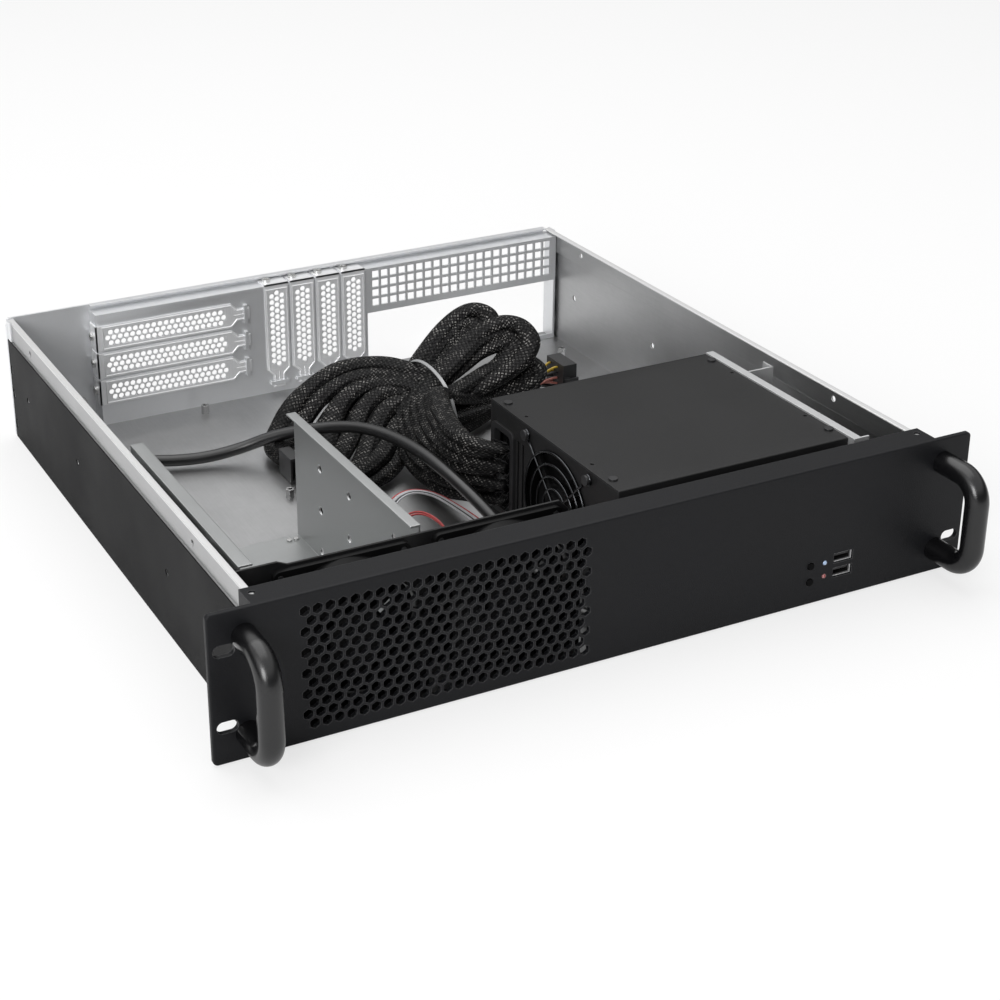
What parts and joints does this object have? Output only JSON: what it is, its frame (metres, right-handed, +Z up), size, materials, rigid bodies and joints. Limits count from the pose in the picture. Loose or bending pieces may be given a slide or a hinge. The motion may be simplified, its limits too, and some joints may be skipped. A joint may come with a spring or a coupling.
{
  "type": "empty rackmount server case",
  "caption": "Open two-unit rackmount server case with grab handles, hex front grille, drive cage, fans, power supply and tied cable harness.",
  "frame": {"origin": "middle of the whole case's box in plan, at the underside of the tray", "axes": "+X to the right seen from the front, +Y from the front panel to the rear, +Z up"},
  "size_m": [0.4826, 0.4926, 0.088],
  "materials": {
    "tray_paint": "fine-textured satin paint",
    "panel_paint": "fine-textured matte paint",
    "handle_black": "satin black",
    "screw_zinc": "bright zinc plated",
    "button_black": "gloss",
    "lamp_lens": "clear tinted lens",
    "bright_shell": "bright plated",
    "black_plastic": "moulded satin",
    "board_green": "solder mask",
    "plated_post": "bright plated",
    "zinc_sheet": "zinc-coated sheet",
    "bracket_paint": "satin dark paint",
    "zinc_cover": "zinc-coated sheet",
    "fan_plastic": "glass-filled moulding",
    "supply_paint": "fine-textured matte paint",
    "screw_dark": "black oxide",
    "guard_wire": "dark plated wire",
    "heatsink_metal": "plain",
    "coil_tape": "polyester tape",
    "capacitor_sleeve": "shrink sleeve",
    "cable_rubber": "smooth sheath",
    "braided_sleeve": "braided filament sleeve",
    "wire_colours": "insulated wires",
    "tie_plastic": "translucent strap"
  },
  "bodies": {
    "chassis": {"tray": "tray_paint", "front_panel": "panel_paint", "handle_left": "handle_black", "handle_right": "handle_black", "handle_screws": "screw_zinc", "front_lamps": "lamp_lens", "usb_shell_upper": "bright_shell", "usb_shell_lower": "bright_shell", "usb_tongue_upper": "black_plastic", "usb_tongue_lower": "black_plastic", "io_board": "board_green", "io_studs": "plated_post", "rear_panel": "zinc_sheet", "slot_cover_lying_1": "zinc_cover", "slot_cover_lying_2": "zinc_cover", "slot_cover_lying_3": "zinc_cover", "slot_cover_standing_1": "zinc_cover", "slot_cover_standing_2": "zinc_cover", "slot_cover_standing_3": "zinc_cover", "slot_cover_standing_4": "zinc_cover", "slot_screws": "screw_zinc", "standoffs": "plated_post", "drive_cage": "zinc_sheet", "cage_screws": "screw_zinc", "fan_bracket": "bracket_paint", "fan_frame_left": "fan_plastic", "fan_frame_right": "fan_plastic", "fan_frame_psu": "fan_plastic", "fan_screws": "screw_zinc", "psu_base": "supply_paint", "psu_cover": "supply_paint", "psu_screws": "screw_dark", "psu_guard": "guard_wire", "psu_board": "board_green", "psu_heatsinks": "heatsink_metal", "psu_transformer": "coil_tape", "psu_capacitors": "capacitor_sleeve", "exit_grommet": "black_plastic", "rear_inlet": "black_plastic", "psu_inlet": "black_plastic", "inlet_screws": "screw_zinc", "switch_frame": "black_plastic", "psu_rail": "zinc_sheet", "lead_plug": "cable_rubber", "mains_lead": "cable_rubber", "board_lead": "braided_sleeve", "fan_lead": "wire_colours", "board_plug": "black_plastic", "drive_plugs": "black_plastic", "fan_plug": "black_plastic", "harness_run": "braided_sleeve", "harness_loops": "braided_sleeve", "harness_coil": "braided_sleeve", "harness_tie": "tie_plastic"},
    "power_button": {"power_button": "button_black"},
    "reset_button": {"reset_button": "button_black"},
    "fan_rotor_left": {"fan_rotor_left": "fan_plastic"},
    "fan_rotor_right": {"fan_rotor_right": "fan_plastic"},
    "fan_rotor_psu": {"fan_rotor_psu": "fan_plastic"},
    "switch_rocker": {"switch_rocker": "button_black"}
  },
  "joints": [
    {"name": "power_button_push", "type": "slide", "parent": "chassis", "child": "power_button", "axis": [0, 1, 0], "range_m": [0, 0.0012], "stiffness_N_per_m": 1000},
    {"name": "reset_button_push", "type": "slide", "parent": "chassis", "child": "reset_button", "axis": [0, 1, 0], "range_m": [0, 0.0012], "stiffness_N_per_m": 1000},
    {"name": "fan_left_spin", "type": "hinge", "parent": "chassis", "child": "fan_rotor_left", "pos_m": [-0.15, -0.17925, 0.042], "axis": [0, 1, 0], "continuous": true},
    {"name": "fan_right_spin", "type": "hinge", "parent": "chassis", "child": "fan_rotor_right", "pos_m": [-0.056, -0.17925, 0.042], "axis": [0, 1, 0], "continuous": true},
    {"name": "fan_psu_spin", "type": "hinge", "parent": "chassis", "child": "fan_rotor_psu", "pos_m": [0.031, -0.10625, 0.0423], "axis": [1, 0, 0], "continuous": true},
    {"name": "supply_switch", "type": "hinge", "parent": "chassis", "child": "switch_rocker", "pos_m": [0.1745, -0.06225, 0.02], "axis": [0, 1, 0], "range_deg": [-9, 9]}
  ]
}
